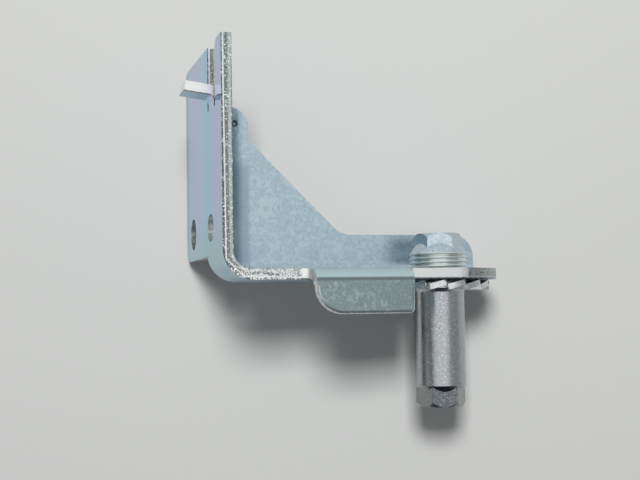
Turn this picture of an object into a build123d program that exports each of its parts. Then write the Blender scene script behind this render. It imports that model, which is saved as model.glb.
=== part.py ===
from build123d import *

import os
from math import cos, pi, radians, sin, sqrt, tan

# Lower door hinge of a refrigerator: a folded sheet bracket, a height-adjusting pin and a lock washer.
# The pin axis is the Z axis and the bearing end of the pin points down. The wall plate's outer face
# looks towards -X. Heights below count from the underside of the arm. The finished pieces are lifted
# so that the origin lies at the upper end of the pin's bearing length.

# Sheet of the bracket
SHEET = 2.5

# Arm that carries the pin
ARM_REACH = 57.0
ARM_HALF_WIDTH = 14.25
CORNER_OUTER_RADIUS = 7.0
CORNER_STRIP = 19.9

# Wall plate
PLATE_DEPTH = 49.4
PLATE_TOP = 56.4
PLATE_FOOT = 6.1
PLATE_TOP_RADIUS = 2.5
PLATE_FOOT_RADIUS = 3.5

# Slot in the plate's top edge and the hook tab that is bent out of it
SLOT_FROM_NEAR_EDGE = 7.6
SLOT_WIDTH = 9.8
SLOT_DEPTH = 15.5
SLIT_WIDTH = 1.3
SLIT_BELOW_BEND = 1.4
TAB_INSIDE_RADIUS = 1.2
TAB_REACH = 7.0
TAB_RISE = 8.0

# Screw holes in the plate, the near one a short slot
HOLE_ABOVE_FOOT = 6.7
NEAR_HOLE_FROM_EDGE = 14.9
NEAR_HOLE_HEIGHT = 6.4
NEAR_HOLE_LENGTH = 8.0
FAR_HOLE_FROM_EDGE = 10.1
FAR_HOLE_DIAMETER = 7.9

# Gusset web, folded up from the arm's far edge
WEB_INSIDE_RADIUS = 3.0
WEB_TOP = 12.0
WEB_TOP_FILLET = 7.0
WEB_END_RADIUS = 5.5
WEB_SLOPE = 45.0
WEB_SLOPE_TOP = 35.7
WEB_SLOPE_TOP_FILLET = 2.0

# Flange on the web that backs the plate behind the far hole
FLANGE_OUTER_RADIUS = 9.0
FLANGE_ABOVE_SLOPE = 8.3
FLANGE_TOP_RADIUS = 5.0
FLANGE_ABOVE_FOOT = 0.4
FLANGE_BEND_REACH = 5.2
FLANGE_BEND_FOOT = 1.2
FLANGE_SETBACK = 1.6
FLANGE_CORNER_RADIUS = 4.0
FLANGE_GAP = 0.2

# Locating dimple, punched into the front of the flange's bend
DIMPLE_RADIUS = 0.8
DIMPLE_BELOW_TOP = 4.2
DIMPLE_TURN = 21.5

# Lip, folded down from the arm's near edge
LIP_OUTER_RADIUS = 3.75
LIP_FROM_PIN = 12.6
LIP_LENGTH = 23.5
LIP_DROP = 8.1
LIP_ROUND = 6.6
LIP_SQUARE_RADIUS = 1.0
LIP_ROOT_FILLET = 2.5
LIP_ROOT_SMALL_FILLET = 0.8

# Hinge pin
PIN_DIAMETER = 12.7
PIN_BEARING_LENGTH = 22.9
PIN_SHOULDER_DROP = 3.0
THREAD_DIAMETER = 14.29
THREAD_ABOVE_ARM = 3.9
THREAD_CLEARANCE = 0.05
HEX_ACROSS_FLATS = 10.7
HEX_TOP_HEIGHT = 5.05
HEX_FOOT_HEIGHT = 5.2
HEX_TOP_TURN = 15.0
HEX_FOOT_TURN = 9.0
HEX_CONE_ANGLE = 35.0
HEX_END_CHAMFER = 1.15

# Lock washer
WASHER_OUTER_DIAMETER = 25.0
WASHER_RIM_DIAMETER = 20.0
WASHER_INSIDE_CLEARANCE = 0.2
WASHER_THICKNESS = 1.4
WASHER_TEETH = 16
WASHER_TOOTH_WIDTH = 4.6
WASHER_TOOTH_ROOT_WIDTH = 3.4
WASHER_TOOTH_TWIST = 14.0
WASHER_SEAT_GAP = 0.2

# Places on the plate
near_edge = -ARM_HALF_WIDTH
far_edge = near_edge + PLATE_DEPTH
plate_face = -ARM_REACH
plate_inner = plate_face + SHEET
slot_near = near_edge + SLOT_FROM_NEAR_EDGE
slot_far = slot_near + SLOT_WIDTH
slit_floor = PLATE_TOP - SLOT_DEPTH
hole_level = PLATE_FOOT + HOLE_ABOVE_FOOT
near_hole = near_edge + NEAR_HOLE_FROM_EDGE
far_hole = far_edge - FAR_HOLE_FROM_EDGE

# Places on the arm, the web and the lip
arm_end = ARM_HALF_WIDTH
arm_start = plate_face + CORNER_OUTER_RADIUS
corner_far = near_edge + CORNER_STRIP
web_outer_radius = SHEET + WEB_INSIDE_RADIUS
web_back = ARM_HALF_WIDTH
web_front = web_back - SHEET
web_fold = web_back - web_outer_radius
flange_face = plate_inner + FLANGE_GAP
flange_top = WEB_SLOPE_TOP + FLANGE_ABOVE_SLOPE
flange_foot = PLATE_FOOT + FLANGE_ABOVE_FOOT
web_start = flange_face + FLANGE_OUTER_RADIUS
flange_step = web_start - FLANGE_BEND_REACH
lip_right = -LIP_FROM_PIN
lip_left = lip_right - LIP_LENGTH
lip_face = near_edge - LIP_OUTER_RADIUS
lip_fold_foot = SHEET - LIP_OUTER_RADIUS

# Radii of the pin and the washer
pin_radius = PIN_DIAMETER / 2
thread_radius = THREAD_DIAMETER / 2
flat_radius = HEX_ACROSS_FLATS / 2
hex_corner_radius = HEX_ACROSS_FLATS / sqrt(3)

# A cutting depth that passes right through the part
through = ARM_REACH + PLATE_DEPTH + PLATE_TOP


def block(low, high):
    """Rectangle between two opposite corners of a sketch plane."""
    centre = Pos((low[0] + high[0]) / 2, (low[1] + high[1]) / 2)
    return centre * Rectangle(high[0] - low[0], high[1] - low[1])


def rounded(sketch, corners):
    """Flat sketch with each listed corner rounded, given as (place, radius)."""
    for place, radius in corners:
        corner = sketch.vertices().sort_by_distance((*place, 0))[0]
        sketch = fillet(corner, radius)
    return sketch


def folded_section(path, radius):
    """Section of the sheet folded once, lying to the left of a path along one of its faces."""
    line = FilletPolyline(*path, radius=radius)
    return make_face(offset(line, amount=SHEET, side=Side.LEFT))


def make_plate():
    """Flat wall plate with its slot, rounded corners and screw holes."""
    outline = make_face(Polyline(
        (near_edge, CORNER_OUTER_RADIUS),
        (near_edge, PLATE_TOP),
        (slot_near, PLATE_TOP),
        (slot_near, slit_floor),
        (slot_far, slit_floor),
        (slot_far, PLATE_TOP),
        (far_edge, PLATE_TOP),
        (far_edge, PLATE_FOOT),
        (corner_far, PLATE_FOOT),
        (corner_far, CORNER_OUTER_RADIUS),
        close=True,
    ))
    outline = rounded(outline, [
        ((slot_near, PLATE_TOP), PLATE_TOP_RADIUS),
        ((far_edge, PLATE_TOP), PLATE_TOP_RADIUS),
        ((far_edge, PLATE_FOOT), PLATE_FOOT_RADIUS),
    ])
    outline -= Pos(near_hole, hole_level) * SlotOverall(NEAR_HOLE_LENGTH, NEAR_HOLE_HEIGHT)
    outline -= Pos(far_hole, hole_level) * Circle(FAR_HOLE_DIAMETER / 2)
    return extrude(Plane.YZ.offset(plate_face) * outline, SHEET)


def make_tab():
    """Hook tab between two slits, bent outwards and a little upwards."""
    tab_near = slot_near + SLIT_WIDTH
    tab_width = SLOT_WIDTH - 2 * SLIT_WIDTH
    rise = radians(TAB_RISE)
    knee = slit_floor + SLIT_BELOW_BEND + TAB_INSIDE_RADIUS * tan((pi / 2 - rise) / 2)
    tip = (plate_face - TAB_REACH, knee + TAB_REACH * tan(rise))
    path = [tip, (plate_face, knee), (plate_face, slit_floor)]
    section = folded_section(path, TAB_INSIDE_RADIUS)
    return extrude(Plane.XZ.offset(-tab_near) * section, -tab_width)


def make_corner():
    """Rounded corner strip that leads from the plate into the arm."""
    ring = Circle(CORNER_OUTER_RADIUS) - Circle(CORNER_OUTER_RADIUS - SHEET)
    centre = (arm_start, CORNER_OUTER_RADIUS)
    quarter = Pos(*centre) * ring & block((plate_face, 0), centre)
    return extrude(Plane.XZ.offset(-near_edge) * quarter, -CORNER_STRIP)


def make_arm():
    """Flat arm with its rounded end and the hole for the pin's thread."""
    outline = make_face(Polyline(
        (arm_start, near_edge),
        (arm_end, near_edge),
        (arm_end, web_fold),
        (web_start, web_fold),
        (web_start, corner_far),
        (arm_start, corner_far),
        close=True,
    ))
    outline = rounded(outline, [((arm_end, near_edge), ARM_HALF_WIDTH)])
    outline -= Circle(thread_radius + THREAD_CLEARANCE)
    return extrude(outline, SHEET)


def web_outline():
    """Front outline of the web: flange top, slope and the low end beside the pin."""
    slope_foot = web_start + (WEB_SLOPE_TOP - WEB_TOP) / tan(radians(WEB_SLOPE))
    outline = make_face(Polyline(
        (flange_step, 0),
        (flange_step, flange_foot),
        (plate_face, flange_foot),
        (plate_face, flange_top),
        (web_start, flange_top),
        (web_start, WEB_SLOPE_TOP),
        (slope_foot, WEB_TOP),
        (arm_end, WEB_TOP),
        (arm_end, 0),
        close=True,
    ))
    return rounded(outline, [
        ((web_start, flange_top), FLANGE_TOP_RADIUS),
        ((web_start, WEB_SLOPE_TOP), WEB_SLOPE_TOP_FILLET),
        ((slope_foot, WEB_TOP), WEB_TOP_FILLET),
        ((arm_end, WEB_TOP), WEB_END_RADIUS),
    ])


def make_web():
    """Gusset web on its fold, with the flange that is turned behind the plate and a dimple on its bend."""
    fold_path = [(web_fold - SHEET, 0), (web_back, 0), (web_back, WEB_TOP)]
    fold = folded_section(fold_path, web_outer_radius) - block((web_fold - through, 0), (web_fold, through))
    web = extrude(Plane.YZ.offset(web_start) * fold, arm_end - web_start)
    wall_path = [(flange_face, far_edge - FLANGE_SETBACK), (flange_face, web_front), (arm_end, web_front)]
    wall = folded_section(wall_path, FLANGE_OUTER_RADIUS)
    flange = extrude(Pos(0, 0, FLANGE_BEND_FOOT) * wall, flange_top - FLANGE_BEND_FOOT)
    flange -= extrude(Plane.YZ.offset(web_start) * block((0, 0), (web_fold + through, WEB_TOP)), through)
    web = (web + flange) & extrude(Plane.XZ * web_outline(), through, both=True)
    web = fillet(web.edges().filter_by(Axis.X).group_by(Axis.Y)[-1], FLANGE_CORNER_RADIUS)
    screw = Plane.YZ.offset(plate_face) * Pos(far_hole, hole_level) * Circle(FAR_HOLE_DIAMETER / 2)
    web -= extrude(screw, FLANGE_OUTER_RADIUS)
    turn = radians(DIMPLE_TURN)
    dimple_x = web_start - FLANGE_OUTER_RADIUS * sin(turn)
    dimple_y = web_front + FLANGE_OUTER_RADIUS * (1 - cos(turn))
    return web - Pos(dimple_x, dimple_y, flange_top - DIMPLE_BELOW_TOP) * Sphere(DIMPLE_RADIUS)


def make_lip():
    """Lip folded down in front of the arm, round at one lower corner."""
    left = lip_left - LIP_ROOT_FILLET
    right = lip_right + LIP_ROOT_SMALL_FILLET
    path = [(near_edge + SHEET, SHEET), (lip_face, SHEET), (lip_face, -LIP_DROP)]
    lip = extrude(Plane.YZ.offset(left) * folded_section(path, LIP_OUTER_RADIUS), right - left)
    front = rounded(block((lip_left, -LIP_DROP), (lip_right, SHEET)), [
        ((lip_left, -LIP_DROP), LIP_ROUND),
        ((lip_right, -LIP_DROP), LIP_SQUARE_RADIUS),
    ])
    front += block((left, lip_fold_foot), (right, SHEET))
    lip &= extrude(Plane.XZ * front, through, both=True)
    waste = rounded(
        block((left - SHEET, near_edge - through), (lip_left, near_edge)),
        [((lip_left, near_edge), LIP_ROOT_FILLET)],
    )
    waste += rounded(
        block((lip_right, near_edge - through), (right + SHEET, near_edge)),
        [((lip_right, near_edge), LIP_ROOT_SMALL_FILLET)],
    )
    return lip - extrude(waste, through, both=True)


def make_bracket():
    """The whole folded blank."""
    return make_plate() + make_tab() + make_corner() + make_arm() + make_web() + make_lip()


def hex_end(height, turn):
    """Wrench hexagon standing on its root, one flat turned from -Y towards -X, free end chamfered."""
    bar = make_face(Polyline(
        (0, 0),
        (hex_corner_radius, 0),
        (hex_corner_radius, height - HEX_END_CHAMFER),
        (flat_radius, height),
        (0, height),
        close=True,
    ))
    prism = extrude(Rot(0, 0, -turn) * RegularPolygon(hex_corner_radius, 6), height)
    return revolve(Plane.XZ * bar, Axis.Z) & prism


def make_pin():
    """Turned pin: bearing length, shoulder, thread length and a hexagon on each end."""
    cone = tan(radians(HEX_CONE_ANGLE))
    shoulder = -PIN_SHOULDER_DROP
    thread_top = SHEET + THREAD_ABOVE_ARM
    bearing_foot = shoulder - PIN_BEARING_LENGTH
    top_cone = thread_top + (thread_radius - flat_radius) / cone
    foot_cone = bearing_foot - (pin_radius - flat_radius) / cone
    profile = make_face(Polyline(
        (0, foot_cone),
        (flat_radius, foot_cone),
        (pin_radius, bearing_foot),
        (pin_radius, shoulder),
        (thread_radius, shoulder + thread_radius - pin_radius),
        (thread_radius, thread_top),
        (flat_radius, top_cone),
        (0, top_cone),
        close=True,
    ))
    pin = revolve(Plane.XZ * profile, Axis.Z)
    pin += Pos(0, 0, thread_top) * hex_end(HEX_TOP_HEIGHT, HEX_TOP_TURN)
    return pin + Pos(0, 0, bearing_foot) * Rot(180, 0, 0) * hex_end(HEX_FOOT_HEIGHT, -HEX_FOOT_TURN)


def make_washer():
    """External-tooth lock washer with every tooth twisted about its own radius."""
    inside_radius = thread_radius + WASHER_INSIDE_CLEARANCE
    rim_radius = WASHER_RIM_DIAMETER / 2
    outer_radius = WASHER_OUTER_DIAMETER / 2
    root_radius = (inside_radius + rim_radius) / 2
    blade = make_face(Polyline(
        (root_radius, -WASHER_TOOTH_ROOT_WIDTH / 2),
        (outer_radius, -WASHER_TOOTH_WIDTH / 2),
        (outer_radius, WASHER_TOOTH_WIDTH / 2),
        (root_radius, WASHER_TOOTH_ROOT_WIDTH / 2),
        close=True,
    ))
    tooth = Rot(WASHER_TOOTH_TWIST, 0, 0) * extrude(blade, WASHER_THICKNESS / 2, both=True)
    tooth &= Cylinder(outer_radius, WASHER_TOOTH_WIDTH)
    washer = Cylinder(rim_radius, WASHER_THICKNESS) - Cylinder(inside_radius, WASHER_THICKNESS)
    washer += [Rot(0, 0, 360 * place / WASHER_TEETH) * tooth for place in range(WASHER_TEETH)]
    twist = radians(WASHER_TOOTH_TWIST)
    half_height = (WASHER_TOOTH_WIDTH * sin(twist) + WASHER_THICKNESS * cos(twist)) / 2
    return Pos(0, 0, -WASHER_SEAT_GAP - half_height) * washer


lift = Pos(0, 0, PIN_SHOULDER_DROP)
os.makedirs("parts", exist_ok=True)
export_step(lift * make_bracket(), "parts/bracket.step")
export_step(lift * make_pin(), "parts/hinge_pin.step")
export_step(lift * make_washer(), "parts/lock_washer.step")
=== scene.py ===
import math

import bmesh
import bpy
from bpy.props import FloatProperty, FloatVectorProperty, IntProperty, PointerProperty
from mathutils import Matrix, Vector
from mathutils.bvhtree import BVHTree


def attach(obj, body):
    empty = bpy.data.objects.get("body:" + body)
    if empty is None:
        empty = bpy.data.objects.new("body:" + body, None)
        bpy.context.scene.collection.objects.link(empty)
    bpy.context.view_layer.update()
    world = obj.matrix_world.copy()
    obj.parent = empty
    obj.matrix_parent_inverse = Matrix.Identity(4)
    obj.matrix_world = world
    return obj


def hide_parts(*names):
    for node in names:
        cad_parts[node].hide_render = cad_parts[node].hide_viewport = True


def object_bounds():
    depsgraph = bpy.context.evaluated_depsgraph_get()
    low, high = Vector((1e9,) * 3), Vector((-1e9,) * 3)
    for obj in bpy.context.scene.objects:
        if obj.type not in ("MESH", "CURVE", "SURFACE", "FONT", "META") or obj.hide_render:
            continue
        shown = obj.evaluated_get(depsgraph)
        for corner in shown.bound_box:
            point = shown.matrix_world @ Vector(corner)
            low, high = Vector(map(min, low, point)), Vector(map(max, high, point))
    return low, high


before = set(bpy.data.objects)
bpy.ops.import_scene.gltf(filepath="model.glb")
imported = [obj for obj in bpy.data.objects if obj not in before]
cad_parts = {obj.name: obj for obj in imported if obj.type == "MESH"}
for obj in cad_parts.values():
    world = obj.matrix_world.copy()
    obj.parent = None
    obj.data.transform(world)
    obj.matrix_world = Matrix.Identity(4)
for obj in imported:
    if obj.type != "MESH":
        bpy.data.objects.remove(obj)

bl_info = {
    "name": "Door Hinge Bracket",
    "version": (1, 0, 0),
    "blender": (4, 5, 0),
    "location": "3D View > Sidebar > Hinge",
    "description": "Zinc-plated door hinge bracket with a threaded pin and a toothed lock washer",
    "category": "Object",
}

MM = 0.001
CAD_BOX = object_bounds()

# Fixed sizes of the solids, in metres, in the shared frame
SHEET = 2.5 * MM
PLATE_FACE = -57.0 * MM
PLATE_NEAR_EDGE = -14.25 * MM
PLATE_FAR_EDGE = 35.15 * MM
ARM_UNDERSIDE = 3.0 * MM
ARM_TOP = 5.5 * MM
TAB_NEAR = -5.35 * MM
TAB_FAR = 1.85 * MM
TAB_FOOT = 43.0 * MM
TAB_TOP = 53.0 * MM
LIP_FACE = -18.0 * MM
LIP_FOLD = 3.0 * MM
LIP_LEFT = -36.1 * MM
LIP_RIGHT = -12.6 * MM
LIP_ROOT = 2.5 * MM
HOLE_LEVEL = 15.8 * MM
HOLES_NEAR = -5.0 * MM
HOLES_FAR = 29.6 * MM
HOLE_REACH = 4.5 * MM
DIMPLE = (-48.6 * MM, 12.4 * MM, 42.8 * MM)
# Outer and inner reach of the painted shade round the dimple
DIMPLE_RIM = 1.1 * MM
DIMPLE_FLOOR = 0.6 * MM
# Bounds of the painted shade on the web's strip along the bend beside the plate
BEND_START = -50.2 * MM
BEND_END = -46.0 * MM
BEND_FOOT = 9.0 * MM
BEND_TOP = 31.0 * MM
# Reach of the painted highlight along the arm's edge; beyond it painted shade darkens the arm's rounded end
END_HIGHLIGHT_REACH = 2.0 * MM
BEARING_FOOT = -22.9 * MM
THREAD_FOOT = 0.795 * MM
THREAD_TOP = 9.4 * MM
THREAD_RADIUS = 7.145 * MM

# Direction and reach of the lower hexagon's front face
FOOT_TURN = math.radians(9.0)
FOOT_FLAT = Vector((-math.sin(FOOT_TURN), -math.cos(FOOT_TURN), 0.0))
FLAT_RADIUS = 5.35 * MM

# Angle between two faces from which their edge counts as sharp, and up to which they count as one face
SHARP_ANGLE = math.radians(28.0)
FLAT_ANGLE = math.radians(0.4)

# Distance at which two corners of a mesh are one
MERGE = 0.002 * MM

# Features in a metre of each finish's noise
SHEET_FINE = 1500.0
SHEET_COARSE = 700.0
SHEET_CRYSTAL = 420.0
SHEET_CLOUD = 120.0
SHEARED_FINE = 2900.0
SHEARED_COARSE = 900.0
PIN_FINE = 2400.0
PIN_SPECK = 2500.0
PIN_CLOUD = 220.0
HEAD_PATCHES = 1300.0
WASHER_FINE = 1800.0

# How strongly the marks in the plating show, and the painted shade along the bend, along the lip's fold, in
# the dimple and on the arm's rounded end
CRYSTAL_DISTORTION = 1.8
SPANGLE_SHARE = 0.6
VEIN_SHARE = 0.45
LIP_VEIN_SHARE = 0.35
BEND_SHADE_SHARE = 0.75
PAINTED_SHADE_SHARE = 0.8
END_SHADE_SHARE = 0.5
BAND_DRIFT = 0.16
BAND_WOBBLE = 0.14
ARM_GRAINS = 0.09
WASHER_DULL = 0.85


def colour(name, text, value):
    """Colour property with the words that the panel shows."""
    return FloatVectorProperty(
        name=name, description=text, subtype="COLOR", size=3, min=0.0, max=1.0, default=value
    )


def length(name, text, value):
    """Length property in metres."""
    return FloatProperty(
        name=name, description=text, subtype="DISTANCE", unit="LENGTH", precision=5, default=value
    )


def share(name, text, value):
    """Property between nothing and all."""
    return FloatProperty(name=name, description=text, subtype="FACTOR", min=0.0, max=1.0, default=value)


class BracketFinish(bpy.types.PropertyGroup):
    """Plated sheet faces and sheared edges of the bracket."""

    edge_break: length("Edge break", "Width of the rounding on sheared edges", 0.22 * MM)
    die_roll: length("Die roll", "Width of the rolled border round the lip's front", 0.85 * MM)
    satin: colour("Satin zinc", "Plated sheet away from the plate's outer face", (0.515, 0.64, 0.715))
    satin_dull: colour("Dull zinc", "Darker grains in the satin plating", (0.435, 0.55, 0.62))
    vein: colour("Veins", "Thin dull lines between the crystals", (0.34, 0.45, 0.50))
    spangle: colour("Spangle", "Pale crystals in the satin plating", (0.585, 0.71, 0.765))
    # Bend colour: painted shade on the web's strip beside the plate, where the plate overhangs the bend
    bend: colour("Bend shade", "Painted shade along the upright bend", (0.30, 0.38, 0.46))
    # Painted highlight on the top of the lip's fold
    fold_highlight: colour("Fold highlight", "Painted highlight over the lip's fold", (0.56, 0.72, 0.745))
    # Lip colours: darker than the web as painted shade for the lip's tilt, with the grains and bright
    # patches of its plating
    lip: colour("Lip zinc", "Plating on the lip's front, darkened as painted shade", (0.335, 0.42, 0.425))
    lip_dull: colour("Dull lip", "Darker grains on the lip's front", (0.25, 0.32, 0.325))
    # Painted highlight on the lip's rolled border
    lip_roll_highlight: colour("Rolled lip", "Painted highlight on the rolled border round the lip's front", (0.82, 0.90, 0.89))
    lip_bright: colour("Lip patches", "Bright patches on the lip's front", (0.45, 0.53, 0.53))
    # Painted shade: the dark line along the lip's fold and the dark spot in the dimple
    crease_and_dimple_shade: colour("Fold line", "Painted shade line along the lip's fold and in the dimple", (0.17, 0.20, 0.21))
    satin_roughness: share("Satin roughness", "Roughness of the satin plating", 0.36)
    plate_roughness: share("Plate roughness", "Roughness of the plate's outer face", 0.12)
    edge_tint: colour("Edge tint", "Tint of the plating seen along its surface", (0.80, 0.86, 0.92))
    teal: colour("Teal band", "Blue-green interference band", (0.36, 0.68, 0.81))
    mauve: colour("Mauve band", "Pink interference band", (0.66, 0.55, 0.79))
    lilac: colour("Lilac band", "Blue interference band", (0.51, 0.65, 0.80))
    border: colour("Border band", "Darker band along the plate's far edge", (0.34, 0.45, 0.52))
    green: colour("Green tint", "Pale green tint towards the corner", (0.42, 0.64, 0.63))
    # Rolled edge colour: a painted highlight on the sheared edge's rolled border; it also colours the
    # bright grains, the tab's burnish and the painted highlights on the arm
    shear_bright: colour("Rolled edge", "Painted highlight on the rolled border of a sheared edge, and bright grains", (0.93, 0.96, 0.95))
    shear_dull: colour("Grainy edge", "Grey grains of a sheared edge", (0.48, 0.54, 0.54))
    shear_torn: colour("Torn edge", "Rough torn middle of a sheared edge", (0.21, 0.24, 0.24))
    shear_dark: colour("Burr line", "Dark line along the borders of a sheared edge", (0.12, 0.135, 0.135))


class PinFinish(bpy.types.PropertyGroup):
    """Turned pin and its thread."""

    pitch: length("Thread pitch", "Rise of one turn", 1.0583 * MM)
    depth: length("Thread depth", "Crest to root", 0.60 * MM)
    steps: IntProperty(
        name="Steps", description="Facets in one turn of the thread", min=16, max=128, default=64
    )
    edge_break: length("Edge break", "Width of the rounding on the pin's edges", 0.14 * MM)
    zinc: colour("Pin zinc", "Plating on the turned pin", (0.44, 0.46, 0.475))
    zinc_bright: colour("Bright specks", "Bright specks in the plating", (0.68, 0.71, 0.73))
    zinc_dull: colour("Pin pits", "Pits and dull grains in the plating", (0.28, 0.29, 0.30))
    head: colour("Head zinc", "Bluer plating on the upper hexagon", (0.50, 0.60, 0.66))
    thread: colour("Thread zinc", "Greyer plating on the thread", (0.86, 0.90, 0.87))
    head_pale: colour("Pale head", "Pale patches on the upper hexagon", (0.63, 0.70, 0.77))
    foot: colour("Foot zinc", "Plating on the lower hexagon", (0.36, 0.395, 0.385))
    dark_front_face: colour("Dark front face", "Darker front face of the lower hexagon", (0.13, 0.145, 0.16))
    roughness: share("Roughness", "Roughness of the turned surface", 0.24)


class WasherFinish(bpy.types.PropertyGroup):
    """Toothed lock washer."""

    edge_break: length("Edge break", "Width of the rounding on the teeth", 0.25 * MM)
    zinc: colour("Washer zinc", "Plating on the washer", (0.72, 0.73, 0.75))
    roughness: share("Roughness", "Roughness of the washer", 0.16)


class StageLook(bpy.types.PropertyGroup):
    """Pale floor, soft room and camera."""

    floor: colour("Floor", "Colour of the pale floor", (0.66, 0.67, 0.65))
    backdrop: colour("Backdrop", "Plain background beyond the floor", (0.62, 0.63, 0.61))
    ambient: colour("Ambient", "Light that the room gives to matt surfaces", (0.215, 0.215, 0.225))
    window: colour("Window", "Bright soft wall in front of the object", (1.00, 1.00, 1.00))
    room: colour("Room", "Walls beside the object", (0.36, 0.385, 0.39))
    ceiling: colour("Ceiling", "Room above the object", (0.75, 0.77, 0.78))
    ground: colour("Ground", "Dark ground under the object", (0.05, 0.05, 0.06))
    screen: colour("Screen", "Dark screen to the left of the object", (0.09, 0.08, 0.075))
    wall: colour("Pale walls", "Pale walls behind the object and at its sides", (0.86, 0.88, 0.88))
    key_power: FloatProperty(
        name="Key light", description="Power of the soft key light", unit="POWER", min=0.0, default=4.0
    )


def shade(tree, kind, inputs=None, **settings):
    """Add a node, link the inputs that are outputs of other nodes and set the rest."""
    item = tree.nodes.new(kind)
    for name, value in settings.items():
        setattr(item, name, value)
    for key, value in (inputs or {}).items():
        if isinstance(value, bpy.types.NodeSocket):
            tree.links.new(value, item.inputs[key])
        else:
            item.inputs[key].default_value = value
    return item


def rgba(value):
    """Colour with full alpha."""
    return (*value, 1.0)


def calculate(tree, operation, first, second=0.5):
    """Result of one sum on two values."""
    return shade(tree, "ShaderNodeMath", {0: first, 1: second}, operation=operation).outputs[0]


def times(tree, first, second):
    """Product of two values."""
    return calculate(tree, "MULTIPLY", first, second)


def step(tree, value, start, end):
    """Smooth step of a value from 0 at start to 1 at end."""
    item = shade(tree, "ShaderNodeMapRange", {"Value": value, "From Min": start, "From Max": end})
    item.interpolation_type = "SMOOTHSTEP"
    return item.outputs["Result"]


def within(tree, value, low, high, soft):
    """1 between low and high, with soft ends."""
    rise = step(tree, value, low - soft, low)
    return times(tree, rise, step(tree, value, high + soft, high))


def mix(tree, factor, first, second):
    """Blend of two colours."""
    item = shade(tree, "ShaderNodeMix", {0: factor, 6: first, 7: second}, data_type="RGBA")
    return item.outputs[2]


def between(tree, factor, low, high):
    """Value that runs from low to high with a factor."""
    item = shade(tree, "ShaderNodeMapRange", {"Value": factor, "To Min": low, "To Max": high})
    return item.outputs["Result"]


def towards(tree, way, target):
    """How far a place or a direction reaches along a target direction."""
    item = shade(tree, "ShaderNodeVectorMath", {0: way, 1: target}, operation="DOT_PRODUCT")
    return item.outputs["Value"]


def grain(tree, place, scale, detail, roughness, distortion=0.0):
    """Noise value with so many features in a metre."""
    return shade(tree, "ShaderNodeTexNoise", {
        "Vector": place, "Scale": scale, "Detail": detail, "Roughness": roughness, "Distortion": distortion,
    }).outputs[0]


def ramp(tree, factor, stops):
    """Colour ramp with the given places and colours."""
    item = shade(tree, "ShaderNodeValToRGB", {0: factor})
    points = item.color_ramp.elements
    while len(points) < len(stops):
        points.new(0.5)
    for point, (place, value) in zip(points, stops):
        point.position = place
        point.color = rgba(value)
    return item.outputs["Color"]


def new_metal(name):
    """Empty metal material with its shader and the object's coordinates."""
    material = bpy.data.materials.new(name)
    material.use_nodes = True
    tree = material.node_tree
    shader = tree.nodes["Principled BSDF"]
    shader.inputs["Metallic"].default_value = 1.0
    place = shade(tree, "ShaderNodeTexCoord").outputs["Object"]
    return material, tree, shader, place


def dress(tree, shader, tint, roughness, height, strength, distance):
    """Link colour, roughness and relief to a metal shader."""
    tree.links.new(tint, shader.inputs["Base Color"])
    tree.links.new(roughness, shader.inputs["Roughness"])
    relief = shade(tree, "ShaderNodeBump", {
        "Strength": strength, "Distance": distance, "Height": height,
    })
    tree.links.new(relief.outputs["Normal"], shader.inputs["Normal"])


def satin_plating(tree, place, axes, look, grains, crystal, vein):
    """Satin zinc with crystals and veins, with painted shade along the bend and in the dimple and a painted
    highlight over the lip's fold.
    """
    tint = mix(tree, grains, rgba(look.satin_dull), rgba(look.satin))
    pale = times(tree, step(tree, crystal, 0.50, 0.58), SPANGLE_SHARE)
    tint = mix(tree, pale, tint, rgba(look.spangle))
    tint = mix(tree, times(tree, vein, VEIN_SHARE), tint, rgba(look.vein))
    # Painted shade on the web's strip along the upright bend beside the plate
    upright = within(tree, axes["Z"], BEND_FOOT, BEND_TOP, 4.0 * MM)
    bend_shade = within(tree, axes["X"], BEND_START, BEND_END, 1.5 * MM)
    bend_shade = times(tree, bend_shade, times(tree, upright, BEND_SHADE_SHARE))
    tint = mix(tree, bend_shade, tint, rgba(look.bend))
    # Painted shade in the dimple's hollow
    reach = shade(tree, "ShaderNodeVectorMath", {0: place, 1: DIMPLE}, operation="DISTANCE")
    dimple_shade = step(tree, reach.outputs["Value"], DIMPLE_RIM, DIMPLE_FLOOR)
    tint = mix(tree, times(tree, dimple_shade, PAINTED_SHADE_SHARE), tint, rgba(look.crease_and_dimple_shade))
    # Painted highlight over the top of the lip's fold
    over_fold_highlight = times(
        tree,
        step(tree, axes["Y"], PLATE_NEAR_EDGE, PLATE_NEAR_EDGE - 0.4 * MM),
        step(tree, axes["Z"], LIP_FOLD, LIP_FOLD + 0.8 * MM),
    )
    return mix(tree, over_fold_highlight, tint, rgba(look.fold_highlight))


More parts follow.
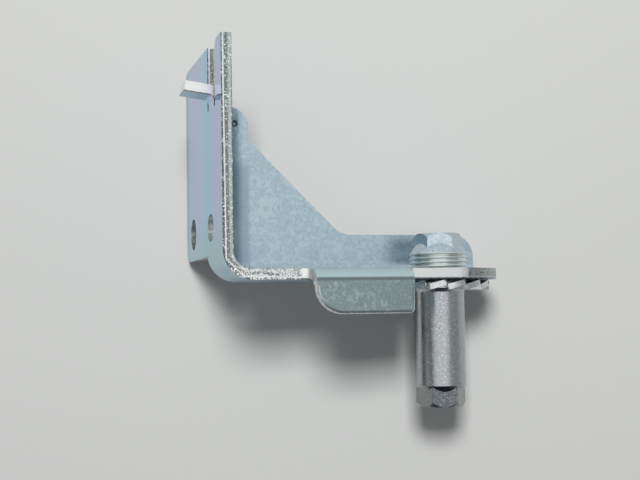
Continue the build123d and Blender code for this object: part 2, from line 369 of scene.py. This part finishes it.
def lip_plating(tree, axes, look, satin, grains, patches, vein):
    """Lip's front darkened with painted shade, with bright patches, a painted highlight on its rolled
    border and a painted shade line along its fold.
    """
    # The lip's front is darker than the web as painted shade; the grains, patches and veins are marks in
    # its plating
    front = mix(tree, grains, rgba(look.lip_dull), rgba(look.lip))
    front = mix(tree, patches, front, rgba(look.lip_bright))
    front = mix(tree, times(tree, vein, LIP_VEIN_SHARE), front, rgba(look.lip_dull))
    lip_front_shade = step(tree, axes["Y"], LIP_FACE + 0.5 * MM, LIP_FACE + 0.05 * MM)
    tint = mix(tree, lip_front_shade, satin, front)
    # Painted highlight on the lip's rolled border
    rolled = times(
        tree,
        within(tree, axes["Y"], LIP_FACE + 0.12 * MM, LIP_FACE + 0.9 * MM, 0.08 * MM),
        step(tree, axes["Z"], LIP_FOLD - 0.8 * MM, LIP_FOLD - 1.6 * MM),
    )
    tint = mix(tree, rolled, tint, rgba(look.lip_roll_highlight))
    # Painted shade line along the lip's fold
    fold = times(
        tree,
        step(tree, axes["Y"], PLATE_NEAR_EDGE - 0.5 * MM, PLATE_NEAR_EDGE - 1.5 * MM),
        within(tree, axes["Z"], LIP_FOLD - 0.25 * MM, LIP_FOLD + 0.15 * MM, 0.35 * MM),
    )
    return mix(tree, times(tree, fold, PAINTED_SHADE_SHARE), tint, rgba(look.crease_and_dimple_shade))


def plate_bands(tree, axes, look, cloud):
    """Interference bands across the plate's outer face, green towards the corner."""
    across = shade(tree, "ShaderNodeMapRange", {
        "Value": axes["Y"], "From Min": PLATE_NEAR_EDGE, "From Max": PLATE_FAR_EDGE,
    }).outputs["Result"]
    drift = times(tree, calculate(tree, "SUBTRACT", cloud, 0.5), BAND_DRIFT)
    bands = ramp(tree, calculate(tree, "ADD", across, drift), [
        (0.00, look.lilac),
        (0.14, look.mauve),
        (0.36, look.teal),
        (0.54, look.lilac),
        (0.74, look.mauve),
        (0.88, look.lilac),
        (1.00, look.border),
    ])
    low = step(tree, axes["Z"], ARM_UNDERSIDE + 18.0 * MM, ARM_UNDERSIDE + 3.0 * MM)
    return mix(tree, low, bands, rgba(look.green))


def sheet_zinc(look):
    """Plated sheet: satin grains, interference bands on the plate's outer face, a lip darkened with painted
    shade.
    """
    material, tree, shader, place = new_metal("zinc_sheet")
    shader.inputs["Specular Tint"].default_value = rgba(look.edge_tint)
    axes = shade(tree, "ShaderNodeSeparateXYZ", {0: place}).outputs
    fine = grain(tree, place, SHEET_FINE, 5.0, 0.65)
    coarse = grain(tree, place, SHEET_COARSE, 3.0, 0.6)
    cloud = grain(tree, place, SHEET_CLOUD, 3.0, 0.5)
    crystal = grain(tree, place, SHEET_CRYSTAL, 2.0, 0.5, CRYSTAL_DISTORTION)
    grains = step(tree, fine, 0.36, 0.60)
    vein = within(tree, crystal, 0.468, 0.480, 0.018)
    patches = times(tree, step(tree, coarse, 0.50, 0.66), step(tree, cloud, 0.36, 0.62))
    tint = satin_plating(tree, place, axes, look, grains, crystal, vein)
    tint = lip_plating(tree, axes, look, tint, grains, patches, vein)
    outer = within(tree, axes["X"], PLATE_FACE - 0.1 * MM, PLATE_FACE + 0.4 * MM, 1.2 * MM)
    tint = mix(tree, outer, tint, plate_bands(tree, axes, look, cloud))
    rough = between(tree, fine, look.satin_roughness - 0.10, look.satin_roughness + 0.10)
    rough_plate = between(tree, fine, look.plate_roughness - 0.05, look.plate_roughness + 0.05)
    blend = shade(tree, "ShaderNodeMix", {0: outer, 2: rough, 3: rough_plate}).outputs[0]
    dress(tree, shader, tint, blend, fine, 0.05, 0.08 * MM)
    return material


def burnished_and_highlit_edges(tree, axes):
    """Where the sheared edge is bright: the tab's burnish, and painted highlights at the arm's end and at
    the root of the lip; and where the arm is.
    """
    tab = times(
        tree,
        within(tree, axes["Y"], TAB_NEAR - 0.4 * MM, TAB_FAR + 0.4 * MM, 0.2 * MM),
        within(tree, axes["Z"], TAB_FOOT, TAB_TOP, 1.0 * MM),
    )
    arm = step(tree, axes["Z"], ARM_TOP + 1.0 * MM, ARM_TOP)
    # Painted highlight along the arm's near edge
    end = within(tree, axes["X"], LIP_RIGHT + 1.5 * MM, END_HIGHLIGHT_REACH, 0.8 * MM)
    end = times(tree, arm, end)
    # Painted highlight in the concave corner at the lip's root
    root = within(tree, axes["X"], LIP_LEFT - LIP_ROOT, LIP_LEFT, 0.3 * MM)
    root = times(tree, arm, root)
    return calculate(tree, "MAXIMUM", tab, calculate(tree, "MAXIMUM", end, root)), arm


def sheared_zinc(look):
    """Sheared edge: dark borders, a painted highlight on the rolled border, a torn middle, sparkling
    grains, the tab's burnish, painted highlights and painted shade on the arm, painted light in the hole
    walls.
    """
    material, tree, shader, place = new_metal("zinc_sheared")
    axes = shade(tree, "ShaderNodeSeparateXYZ", {0: place}).outputs
    burnish_and_highlight, arm = burnished_and_highlit_edges(tree, axes)
    uv = shade(tree, "ShaderNodeUVMap", uv_map="across").outputs["UV"]
    across = shade(tree, "ShaderNodeSeparateXYZ", {0: uv}).outputs["X"]
    coarse = grain(tree, place, SHEARED_COARSE, 4.0, 0.7)
    fine = grain(tree, place, SHEARED_FINE, 3.0, 0.6)
    wobble = times(tree, calculate(tree, "SUBTRACT", fine, 0.5), BAND_WOBBLE)
    ragged = calculate(tree, "ADD", across, wobble)
    # Bands across the sheared edge; the bright band at the rolled border is a painted highlight
    bands = ramp(tree, ragged, [
        (0.00, look.shear_dark),
        (0.08, look.shear_dark),
        (0.14, look.shear_bright),
        (0.21, look.shear_bright),
        (0.30, look.shear_torn),
        (0.55, look.shear_torn),
        (0.68, look.shear_dull),
        (0.90, look.shear_dull),
        (0.97, look.shear_dark),
    ])
    grains = step(tree, calculate(tree, "ADD", fine, times(tree, arm, ARM_GRAINS)), 0.55, 0.63)
    tint = mix(tree, grains, bands, rgba(look.shear_bright))
    # Painted shade on the arm's rounded end beyond the highlight
    ragged_end = calculate(tree, "ADD", axes["X"], times(tree, coarse, 4.0 * MM))
    end_shade = times(tree, arm, step(tree, ragged_end, END_HIGHLIGHT_REACH + 1.6 * MM, END_HIGHLIGHT_REACH + 2.6 * MM))
    tint = mix(tree, times(tree, end_shade, END_SHADE_SHARE), tint, rgba(look.shear_torn))
    # Bright colour for the tab's burnish and the painted highlights on the arm
    rubbed_and_highlit = ramp(tree, ragged, [
        (0.00, look.shear_dark),
        (0.06, look.shear_dark),
        (0.15, look.shear_bright),
    ])
    tint = mix(tree, calculate(tree, "SUBTRACT", burnish_and_highlight, end_shade), tint, rubbed_and_highlit)
    # Painted light: the hole walls get a paler mix of grey and bright grains in place of their shade
    hole_walls_lit = times(
        tree,
        within(tree, axes["Z"], HOLE_LEVEL - HOLE_REACH, HOLE_LEVEL + HOLE_REACH, 0.5 * MM),
        within(tree, axes["Y"], HOLES_NEAR, HOLES_FAR, 0.5 * MM),
    )
    lit_hole_sparkle = mix(tree, step(tree, coarse, 0.40, 0.60), rgba(look.shear_dull), rgba(look.shear_bright))
    tint = mix(tree, hole_walls_lit, tint, lit_hole_sparkle)
    rough = between(tree, fine, 0.50, 0.22)
    relief = shade(tree, "ShaderNodeMix", {0: burnish_and_highlight, 2: coarse, 3: 0.5}).outputs[0]
    dress(tree, shader, tint, rough, relief, 0.22, 0.30 * MM)
    return material


def turned_zinc(look):
    """Turned and plated pin: bluer head, dark foot, small pits and bright specks."""
    material, tree, shader, place = new_metal("zinc_turned")
    height = shade(tree, "ShaderNodeSeparateXYZ", {0: place}).outputs["Z"]
    fine = grain(tree, place, PIN_FINE, 3.0, 0.55)
    speck = grain(tree, place, PIN_SPECK, 2.0, 0.5)
    cloud = grain(tree, place, PIN_CLOUD, 3.0, 0.5)
    tint = mix(tree, step(tree, fine, 0.40, 0.33), rgba(look.zinc), rgba(look.zinc_dull))
    tint = mix(tree, step(tree, speck, 0.56, 0.70), tint, rgba(look.zinc_bright))
    tint = mix(tree, step(tree, height, ARM_UNDERSIDE, ARM_TOP), tint, rgba(look.thread))
    patches = step(tree, grain(tree, place, HEAD_PATCHES, 3.0, 0.6), 0.44, 0.64)
    head = mix(tree, patches, rgba(look.head), rgba(look.head_pale))
    tint = mix(tree, step(tree, height, THREAD_TOP, THREAD_TOP + 0.3 * MM), tint, head)
    foot = mix(tree, step(tree, fine, 0.40, 0.62), rgba(look.zinc_dull), rgba(look.foot))
    # The lower hexagon's front face is darker than its other faces
    dark_front_face = mix(tree, step(tree, fine, 0.45, 0.68), rgba(look.dark_front_face), rgba(look.zinc_dull))
    reach = towards(tree, place, FOOT_FLAT)
    flat = step(tree, reach, FLAT_RADIUS - 0.25 * MM, FLAT_RADIUS - 0.10 * MM)
    foot = mix(tree, flat, foot, dark_front_face)
    tint = mix(tree, step(tree, height, BEARING_FOOT, BEARING_FOOT - 0.3 * MM), tint, foot)
    rough = between(tree, cloud, look.roughness - 0.08, look.roughness + 0.08)
    dress(tree, shader, tint, rough, fine, 0.16, 0.06 * MM)
    return material


def washer_zinc(look):
    """Bright plated washer."""
    material, tree, shader, place = new_metal("zinc_washer")
    fine = grain(tree, place, WASHER_FINE, 3.0, 0.5)
    dull = [WASHER_DULL * part for part in look.zinc]
    tint = mix(tree, step(tree, fine, 0.62, 0.40), rgba(look.zinc), rgba(dull))
    rough = between(tree, fine, look.roughness - 0.05, look.roughness + 0.08)
    dress(tree, shader, tint, rough, fine, 0.10, 0.05 * MM)
    return material


def solid_copy(node, mark=None):
    """Merged copy of a solid's mesh with its flat faces joined, marked while it is still triangles."""
    mesh = bmesh.new()
    mesh.from_mesh(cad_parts[node].data)
    bmesh.ops.remove_doubles(mesh, verts=mesh.verts[:], dist=MERGE)
    bmesh.ops.recalc_face_normals(mesh, faces=mesh.faces[:])
    mesh.normal_update()
    if mark:
        mark(mesh)
    bmesh.ops.dissolve_limit(
        mesh, angle_limit=FLAT_ANGLE, verts=mesh.verts[:], edges=mesh.edges[:],
        delimit={"NORMAL", "MATERIAL"},
    )
    mesh.normal_update()
    return mesh


def sharp_edges(mesh):
    """Edges where two faces meet at a clear angle."""
    return [
        edge for edge in mesh.edges
        if len(edge.link_faces) == 2 and edge.calc_face_angle() > SHARP_ANGLE
    ]


def break_edges(mesh, edges, width, segments, clamp=True):
    """Round the given edges of a mesh."""
    bmesh.ops.bevel(
        mesh, geom=edges, offset=width, offset_type="OFFSET", affect="EDGES",
        segments=segments, profile=0.5, material=-1, clamp_overlap=clamp,
    )


def lip_border(mesh):
    """Sharp edges round the lip's front."""
    return [
        edge for edge in sharp_edges(mesh)
        if all(vert.co.y < LIP_FACE + 0.02 * MM and vert.co.z < LIP_FOLD for vert in edge.verts)
    ]


def finish_piece(mesh, name, body, node, materials):
    """Make an object of a mesh, shade it smoothly and tie it to the frame."""
    data = bpy.data.meshes.new(name)
    for face in mesh.faces:
        face.smooth = True
    mesh.to_mesh(data)
    mesh.free()
    piece = bpy.data.objects.new(name, data)
    bpy.context.scene.collection.objects.link(piece)
    for material in materials:
        data.materials.append(material)
    normals = piece.modifiers.new("Weighted normals", "WEIGHTED_NORMAL")
    normals.keep_sharp = True
    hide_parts(node)
    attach(piece, body)
    return piece


def mark_sheared(mesh):
    """Give the sheared faces, which have more than the sheet behind them, the second material."""
    tree = BVHTree.FromBMesh(mesh)
    for face in mesh.faces:
        inside = face.calc_center_median() - face.normal * 0.02 * MM
        depth = tree.ray_cast(inside, -face.normal)[3]
        if depth is None or depth > 1.3 * SHEET:
            face.material_index = 1


def outer_skin(mesh):
    """Sheet faces that run on smoothly from the plate's outer face."""
    sheet = [face for face in mesh.faces if face.material_index == 0]
    first = max((face for face in sheet if face.normal.x < -0.99), key=lambda face: face.calc_area())
    skin = {first}
    queue = [first]
    while queue:
        for edge in queue.pop().edges:
            for other in edge.link_faces:
                smooth = edge.calc_face_angle(0.0) < SHARP_ANGLE
                if smooth and other.material_index == 0 and other not in skin:
                    skin.add(other)
                    queue.append(other)
    return skin


def note_across(mesh):
    """Note on each sheared face how far across the sheet its corners lie."""
    skin = outer_skin(mesh)
    layer = mesh.loops.layers.uv.new("across")
    for face in mesh.faces:
        for loop in face.loops:
            on_skin = any(other in skin for other in loop.vert.link_faces)
            loop[layer].uv = (0.0 if on_skin else 1.0, 0.5)


class HINGE_OT_bracket(bpy.types.Operator):
    """Dress the folded bracket with broken edges and plating."""

    bl_idname = "hinge.bracket"
    bl_label = "Bracket"

    def execute(self, context):
        look = context.scene.hinge_bracket
        mesh = solid_copy("bracket", mark_sheared)
        note_across(mesh)
        break_edges(mesh, lip_border(mesh), look.die_roll, 4, clamp=False)
        break_edges(mesh, sharp_edges(mesh), look.edge_break, 3)
        zincs = [sheet_zinc(look), sheared_zinc(look)]
        finish_piece(mesh, "bracket_sheet", "bracket", "bracket", zincs)
        return {"FINISHED"}


def wind_thread(mesh, look):
    """Wind the thread's section up the pin and close its ends."""
    root = THREAD_RADIUS - look.depth
    crest = THREAD_RADIUS - 0.01 * MM
    section = [(root, 0.0), (root, 0.10), (crest, 0.36), (crest, 0.64), (root, 0.90), (root, 1.0)]
    base = THREAD_FOOT - 2.0 * look.pitch
    turns = math.ceil((THREAD_TOP - base) / look.pitch) + 1
    thread = bmesh.new()
    verts = [thread.verts.new((radius, 0.0, base + rise * look.pitch)) for radius, rise in section]
    edges = [thread.edges.new(pair) for pair in zip(verts, verts[1:])]
    bmesh.ops.spin(
        thread, geom=verts + edges, cent=(0, 0, 0), axis=(0, 0, 1), dvec=(0, 0, look.pitch / look.steps),
        angle=2 * math.pi * turns, steps=look.steps * turns, use_merge=False, use_duplicate=False,
    )
    bmesh.ops.remove_doubles(thread, verts=thread.verts[:], dist=MERGE)
    for level, up in ((THREAD_FOOT - 0.05 * MM, -1), (THREAD_TOP - 0.01 * MM, 1)):
        bmesh.ops.bisect_plane(
            thread, geom=thread.verts[:] + thread.edges[:] + thread.faces[:], dist=0.001 * MM,
            plane_co=(0, 0, level), plane_no=(0, 0, up), clear_outer=True,
        )
    bmesh.ops.holes_fill(thread, edges=[edge for edge in thread.edges if edge.is_boundary])
    bmesh.ops.recalc_face_normals(thread, faces=thread.faces[:])
    data = bpy.data.meshes.new("thread")
    thread.to_mesh(data)
    thread.free()
    mesh.from_mesh(data)
    bpy.data.meshes.remove(data)


class HINGE_OT_pin(bpy.types.Operator):
    """Dress the pin: broken hexagon edges and a wound thread."""

    bl_idname = "hinge.pin"
    bl_label = "Pin"

    def execute(self, context):
        look = context.scene.hinge_pin
        mesh = solid_copy("hinge_pin")
        wall = [
            face for face in mesh.faces
            if abs(face.normal.z) < 0.05
            and THREAD_FOOT < face.calc_center_median().z < THREAD_TOP
            and face.calc_center_median().xy.length > 0.95 * THREAD_RADIUS
        ]
        if not wall:
            raise RuntimeError("the pin has no thread wall to replace")
        bmesh.ops.delete(mesh, geom=wall, context="FACES")
        bmesh.ops.holes_fill(mesh, edges=[edge for edge in mesh.edges if edge.is_boundary])
        bmesh.ops.recalc_face_normals(mesh, faces=mesh.faces[:])
        break_edges(mesh, sharp_edges(mesh), look.edge_break, 3)
        wind_thread(mesh, look)
        finish_piece(mesh, "pin_turned", "pin", "hinge_pin", [turned_zinc(look)])
        return {"FINISHED"}


class HINGE_OT_washer(bpy.types.Operator):
    """Dress the lock washer with broken tooth edges."""

    bl_idname = "hinge.washer"
    bl_label = "Lock washer"

    def execute(self, context):
        look = context.scene.hinge_washer
        mesh = solid_copy("lock_washer")
        break_edges(mesh, sharp_edges(mesh), look.edge_break, 2)
        zincs = [washer_zinc(look)]
        finish_piece(mesh, "washer_toothed", "bracket", "lock_washer", zincs)
        return {"FINISHED"}


# Camera and floor, from the photograph's viewing angle
CAMERA_PLACE = Vector((-107.7, -279.7, -4.8)) * MM
CAMERA_FORWARD = Vector((0.2661, 0.9620, 0.0609)).normalized()
CAMERA_UP = Vector((-0.0013, -0.0628, 0.9980))
CAMERA_LENS = 67.5
CAMERA_SENSOR = 36.0
CAMERA_NEAREST = 0.01
FLOOR_NORMAL = Vector((-0.276, -0.961, -0.0158)).normalized()
FLOOR_DROP = 19.05 * MM
FLOOR_HALF = 0.6
KEY_WAY = Vector((-0.27, -0.90, 0.33)).normalized()
KEY_DISTANCE = 0.70
KEY_SIZE = 0.16
UPRIGHT = Vector((0, 0, 1))

# Soft room that the metal mirrors: a bright wall in front and a dark screen on the left
WINDOW_WAY = Vector((-0.212, -0.955, 0.208)).normalized()
WINDOW_EDGES = (math.cos(math.radians(48.0)), math.cos(math.radians(20.0)))
WINDOW_TOP = (0.85, 0.55)
SCREEN_WAY = Vector((-1.0, -0.05, 0.0)).normalized()
SCREEN_EDGES = (math.cos(math.radians(36.0)), math.cos(math.radians(24.0)))
SCREEN_HEIGHTS = (0.30, 0.16)
CEILING_EDGES = (0.45, 0.80)
GROUND_EDGES = (-0.40, -0.80)

# Pale walls at the back, the right and low on the left: direction, outer and inner angle, paleness
PALE_WALLS = (
    (Vector((0.26, 0.93, -0.10)).normalized(), 64.0, 34.0, 1.0),
    (Vector((0.97, 0.22, -0.15)).normalized(), 34.0, 16.0, 1.0),
    (Vector((-0.92, -0.20, -0.36)).normalized(), 24.0, 10.0, 0.75),
)


def facing(forward, up):
    """Turn that looks along forward with up as near as possible to the given one."""
    right = forward.cross(up).normalized()
    true_up = right.cross(forward)
    return Matrix((right, true_up, -forward)).transposed().to_4x4()


def add_key(look):
    """Soft lamp that lights the floor and casts the shadows."""
    lamp = bpy.data.lights.new("key", "AREA")
    lamp.size = KEY_SIZE
    lamp.energy = look.key_power
    item = bpy.data.objects.new("key", lamp)
    middle = (Vector(CAD_BOX[0]) + Vector(CAD_BOX[1])) / 2
    place = Matrix.Translation(middle + KEY_WAY * KEY_DISTANCE)
    item.matrix_world = place @ facing(-KEY_WAY, UPRIGHT)
    item.visible_glossy = False
    bpy.context.scene.collection.objects.link(item)


def floor_material(look):
    """Pale floor that is lit from its front and can't be seen from behind."""
    material = bpy.data.materials.new("pale_floor")
    material.use_nodes = True
    tree = material.node_tree
    tree.nodes.clear()
    pale = shade(tree, "ShaderNodeBsdfDiffuse", {"Color": rgba(look.floor)}).outputs[0]
    clear = shade(tree, "ShaderNodeBsdfTransparent").outputs[0]
    behind = shade(tree, "ShaderNodeNewGeometry").outputs["Backfacing"]
    both = shade(tree, "ShaderNodeMixShader", {0: behind, 1: pale, 2: clear}).outputs[0]
    shade(tree, "ShaderNodeOutputMaterial", {"Surface": both})
    return material


def soft_room(look):
    """Surroundings: a pale backdrop to look at and a soft room for the metal to mirror."""
    world = bpy.data.worlds.new("soft_room")
    world.use_nodes = True
    tree = world.node_tree
    way = shade(tree, "ShaderNodeTexCoord").outputs["Generated"]
    height = shade(tree, "ShaderNodeSeparateXYZ", {0: way}).outputs["Z"]
    tint = mix(tree, step(tree, height, *CEILING_EDGES), rgba(look.room), rgba(look.ceiling))
    tint = mix(tree, step(tree, height, *GROUND_EDGES), tint, rgba(look.ground))
    level = step(tree, calculate(tree, "ABSOLUTE", height), *SCREEN_HEIGHTS)
    screen = times(tree, level, step(tree, towards(tree, way, SCREEN_WAY), *SCREEN_EDGES))
    tint = mix(tree, screen, tint, rgba(look.screen))
    for target, outer, inner, paleness in PALE_WALLS:
        edges = (math.cos(math.radians(outer)), math.cos(math.radians(inner)))
        wall = times(tree, step(tree, towards(tree, way, target), *edges), paleness)
        tint = mix(tree, wall, tint, rgba(look.wall))
    window = step(tree, towards(tree, way, WINDOW_WAY), *WINDOW_EDGES)
    window = times(tree, window, step(tree, height, *WINDOW_TOP))
    tint = mix(tree, window, tint, rgba(look.window))
    ray = shade(tree, "ShaderNodeLightPath").outputs
    light = mix(tree, ray["Is Glossy Ray"], rgba(look.ambient), tint)
    seen = calculate(tree, "MAXIMUM", ray["Is Camera Ray"], ray["Is Transmission Ray"])
    light = mix(tree, seen, light, rgba(look.backdrop))
    tree.links.new(light, tree.nodes["Background"].inputs["Color"])
    bpy.context.scene.world = world


class HINGE_OT_stage(bpy.types.Operator):
    """Set up the pale floor, the soft room, the key lamp and the camera."""

    bl_idname = "hinge.stage"
    bl_label = "Stage"

    def execute(self, context):
        look = context.scene.hinge_stage
        mesh = bmesh.new()
        bmesh.ops.create_grid(mesh, x_segments=1, y_segments=1, size=FLOOR_HALF)
        turn = facing(-FLOOR_NORMAL, UPRIGHT)
        mesh.transform(Matrix.Translation(-FLOOR_DROP * FLOOR_NORMAL) @ turn)
        data = bpy.data.meshes.new("floor")
        mesh.to_mesh(data)
        mesh.free()
        data.materials.append(floor_material(look))
        floor = bpy.data.objects.new("floor", data)
        context.scene.collection.objects.link(floor)
        soft_room(look)
        add_key(look)
        camera = bpy.data.cameras.new("camera")
        camera.lens = CAMERA_LENS
        camera.sensor_width = CAMERA_SENSOR
        camera.sensor_fit = "HORIZONTAL"
        camera.clip_start = CAMERA_NEAREST
        item = bpy.data.objects.new("camera", camera)
        item.matrix_world = Matrix.Translation(CAMERA_PLACE) @ facing(CAMERA_FORWARD, CAMERA_UP)
        context.scene.collection.objects.link(item)
        context.scene.camera = item
        context.scene.view_settings.view_transform = "Standard"
        return {"FINISHED"}


class HINGE_PT_panel(bpy.types.Panel):
    """Hinge pieces and their finishes."""

    bl_idname = "HINGE_PT_panel"
    bl_label = "Hinge"
    bl_space_type = "VIEW_3D"
    bl_region_type = "UI"
    bl_category = "Hinge"

    def draw(self, context):
        for operator, group in PARTS:
            box = self.layout.box()
            box.operator(operator.bl_idname)
            owner = getattr(context.scene, group)
            for name in owner.__annotations__:
                box.prop(owner, name)


PARTS = [
    (HINGE_OT_bracket, "hinge_bracket"),
    (HINGE_OT_pin, "hinge_pin"),
    (HINGE_OT_washer, "hinge_washer"),
    (HINGE_OT_stage, "hinge_stage"),
]
GROUPS = {
    "hinge_bracket": BracketFinish,
    "hinge_pin": PinFinish,
    "hinge_washer": WasherFinish,
    "hinge_stage": StageLook,
}


def register():
    for name, group in GROUPS.items():
        bpy.utils.register_class(group)
        setattr(bpy.types.Scene, name, PointerProperty(type=group))
    for operator, _ in PARTS:
        bpy.utils.register_class(operator)
    bpy.utils.register_class(HINGE_PT_panel)


def unregister():
    bpy.utils.unregister_class(HINGE_PT_panel)
    for operator, _ in reversed(PARTS):
        bpy.utils.unregister_class(operator)
    for name, group in reversed(list(GROUPS.items())):
        delattr(bpy.types.Scene, name)
        bpy.utils.unregister_class(group)


def main():
    register()
    bpy.ops.hinge.bracket()
    bpy.ops.hinge.pin()
    bpy.ops.hinge.washer()
    bpy.ops.hinge.stage()


if __name__ == "__main__":
    main()
